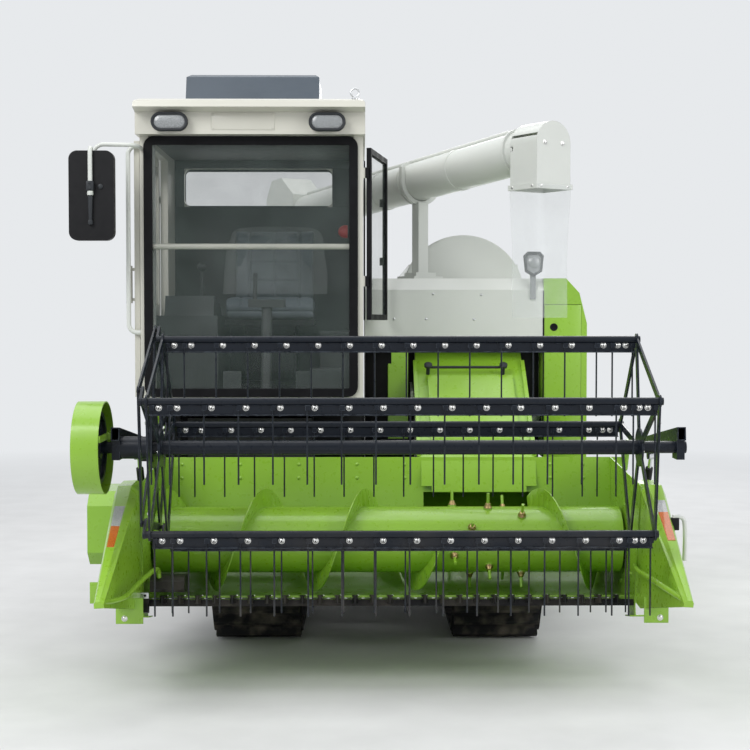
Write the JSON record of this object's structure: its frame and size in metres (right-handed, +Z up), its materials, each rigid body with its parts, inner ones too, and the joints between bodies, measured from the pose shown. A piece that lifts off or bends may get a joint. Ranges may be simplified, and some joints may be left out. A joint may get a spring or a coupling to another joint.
{
  "type": "tracked combine harvester",
  "caption": "Rubber-tracked combine harvester with offset cab, tined reel, cutting header, feeder house and a folded unloading auger with a clear sleeve.",
  "frame": {"origin": "middle of the whole machine across and lengthwise, on the ground below the tracks", "axes": "+Z up, -Y the way the header faces, +X the driver's left"},
  "size_m": [2.699, 4.96, 2.858],
  "materials": {
    "green_paint": "glossy",
    "white_paint": "glossy",
    "slate_paint": "satin",
    "black_paint": "satin",
    "track_rubber": "matt",
    "bare_steel": "satin",
    "cast_housing": "rough",
    "grey_plastic": "matt",
    "black_plastic": "matt",
    "window_glass": "clear",
    "seat_cover": "satin",
    "clear_film": "clear and soft",
    "lamp_glass": "clear",
    "black_rubber": "matt"
  },
  "bodies": {
    "chassis": {"chassis_frame": "black_paint", "track_left": "track_rubber", "track_right": "track_rubber", "track_frames": "black_paint", "road_wheels": "black_paint", "drive_sprockets": "cast_housing", "gearbox": "cast_housing", "engine": "cast_housing", "thresher_body": "white_paint", "left_side_cover": "green_paint", "drum_hood": "white_paint", "straw_hood": "white_paint", "grain_tank": "white_paint", "unload_column": "white_paint", "boom_cradle": "white_paint", "boom_barrel": "cast_housing", "cab_shell": "white_paint", "cab_roof": "white_paint", "ac_unit": "grey_plastic", "cab_glass": "window_glass", "seat_base": "black_paint", "seat_cushions": "seat_cover", "cab_controls": "grey_plastic", "cab_tubes": "white_paint", "cab_mirror": "black_plastic", "steps": "black_paint", "work_lamps": "lamp_glass"},
    "header": {"header_trough": "green_paint", "header_ends": "green_paint", "reel_lift_pins": "bare_steel", "dividers": "green_paint", "knife_guards": "black_paint", "feeder_house": "green_paint", "header_drive_cover": "green_paint"},
    "knife": {"knife": "bare_steel"},
    "header_auger": {"header_auger": "green_paint"},
    "reel_arms": {"reel_arms": "slate_paint", "reel_guard": "green_paint"},
    "reel": {"reel_frame": "slate_paint", "reel_pulley": "slate_paint"},
    "reel_cam": {"reel_cam": "slate_paint"},
    "header_barrel": {"header_barrel": "black_paint"},
    "header_rod": {"header_rod": "bare_steel"},
    "reel_barrels": {"reel_barrels": "black_paint"},
    "reel_rods": {"reel_rods": "bare_steel"},
    "unload_boom": {"unload_tube": "white_paint", "unload_spout": "white_paint", "unload_sleeve": "clear_film"},
    "boom_rod": {"boom_rod": "bare_steel"},
    "cab_door": {"cab_door": "white_paint", "door_glass": "window_glass"},
    "side_window": {"side_window": "black_rubber", "side_window_glass": "window_glass"},
    "radiator_door": {"radiator_door": "green_paint"},
    "reel_bat_1": {"reel_bat_1": "slate_paint"},
    "reel_bat_2": {"reel_bat_2": "slate_paint"},
    "reel_bat_3": {"reel_bat_3": "slate_paint"},
    "reel_bat_4": {"reel_bat_4": "slate_paint"},
    "reel_bat_5": {"reel_bat_5": "slate_paint"}
  },
  "joints": [
    {"name": "header_lift", "type": "hinge", "parent": "chassis", "child": "header", "pos_m": [0.565, -0.36, 1.2], "axis": [-1, 0, 0], "range_deg": [-10, 4]},
    {"name": "reel_lift", "type": "hinge", "parent": "header", "child": "reel_arms", "pos_m": [0.155, -1.015, 1.01], "axis": [-1, 0, 0], "range_deg": [0, 14]},
    {"name": "reel_spin", "type": "hinge", "parent": "reel_arms", "child": "reel", "pos_m": [0.162, -2, 1.092], "axis": [1, 0, 0], "continuous": true},
    {"name": "reel_cam_spin", "type": "hinge", "parent": "reel_arms", "child": "reel_cam", "pos_m": [-0.864, -1.945, 1.132], "axis": [1, 0, 0], "continuous": true},
    {"name": "reel_bat_1_turn", "type": "hinge", "parent": "reel", "child": "reel_bat_1", "pos_m": [0.162, -1.92186, 1.53516], "axis": [1, 0, 0], "continuous": true},
    {"name": "reel_bat_2_turn", "type": "hinge", "parent": "reel", "child": "reel_bat_2", "pos_m": [0.162, -2.39733, 1.30326], "axis": [1, 0, 0], "continuous": true},
    {"name": "reel_bat_3_turn", "type": "hinge", "parent": "reel", "child": "reel_bat_3", "pos_m": [0.162, -2.3237, 0.7794], "axis": [1, 0, 0], "continuous": true},
    {"name": "reel_bat_4_turn", "type": "hinge", "parent": "reel", "child": "reel_bat_4", "pos_m": [0.162, -1.80273, 0.68754], "axis": [1, 0, 0], "continuous": true},
    {"name": "reel_bat_5_turn", "type": "hinge", "parent": "reel", "child": "reel_bat_5", "pos_m": [0.162, -1.55438, 1.15463], "axis": [1, 0, 0], "continuous": true},
    {"name": "auger_spin", "type": "hinge", "parent": "header", "child": "header_auger", "pos_m": [0.125, -1.31, 0.608], "axis": [1, 0, 0], "continuous": true},
    {"name": "knife_slide", "type": "slide", "parent": "header", "child": "knife", "axis": [1, 0, 0], "range_m": [0, 0.0762]},
    {"name": "header_barrel_swing", "type": "hinge", "parent": "chassis", "child": "header_barrel", "pos_m": [0.335, -0.44, 0.545], "axis": [-1, 0, 0], "range_deg": [-12.6, 5.2]},
    {"name": "header_rod_slide", "type": "slide", "parent": "header_barrel", "child": "header_rod", "axis": [0, -0.9981, 0.0624], "range_m": [-0.115, 0.047]},
    {"name": "reel_barrel_swing", "type": "hinge", "parent": "header", "child": "reel_barrels", "pos_m": [0.155, -1.28, 0.75], "axis": [-1, 0, 0], "range_deg": [0, 9.8]},
    {"name": "reel_rod_slide", "type": "slide", "parent": "reel_barrels", "child": "reel_rods", "axis": [0, -0.527, 0.8498], "range_m": [0, 0.0885]},
    {"name": "unload_lift", "type": "hinge", "parent": "chassis", "child": "unload_boom", "pos_m": [-0.423, 1.087, 2.259], "axis": [-0.8387, -0.5446, 0], "range_deg": [0, 40]},
    {"name": "boom_rod_slide", "type": "slide", "parent": "chassis", "child": "boom_rod", "axis": [0, 0, 1], "range_m": [-0.14, 0]},
    {"name": "cab_door_swing", "type": "hinge", "parent": "chassis", "child": "cab_door", "pos_m": [-1.081, -0.194, 1.85], "axis": [0, 0, -1], "range_deg": [0, 85]},
    {"name": "side_window_swing", "type": "hinge", "parent": "chassis", "child": "side_window", "pos_m": [0.028, -0.96, 2.032], "axis": [0, 0, -1], "range_deg": [-9, 70]},
    {"name": "radiator_door_swing", "type": "hinge", "parent": "chassis", "child": "radiator_door", "pos_m": [-1.0503, -0.117, 0.975], "axis": [0, 0, -1], "range_deg": [0, 80]}
  ],
  "couplings": [
    {"joint": "reel_cam_spin", "follows": "reel_spin", "ratio": 1},
    {"joint": "reel_bat_1_turn", "follows": "reel_spin", "ratio": -1},
    {"joint": "reel_bat_2_turn", "follows": "reel_spin", "ratio": -1},
    {"joint": "reel_bat_3_turn", "follows": "reel_spin", "ratio": -1},
    {"joint": "reel_bat_4_turn", "follows": "reel_spin", "ratio": -1},
    {"joint": "reel_bat_5_turn", "follows": "reel_spin", "ratio": -1},
    {"joint": "header_barrel_swing", "follows": "header_lift", "ratio": 1.215},
    {"joint": "header_rod_slide", "follows": "header_lift", "m_per_rad": 0.646},
    {"joint": "reel_barrel_swing", "follows": "reel_lift", "ratio": 0.685},
    {"joint": "reel_rod_slide", "follows": "reel_lift", "m_per_rad": 0.356},
    {"joint": "boom_rod_slide", "follows": "unload_lift", "m_per_rad": -0.198}
  ]
}
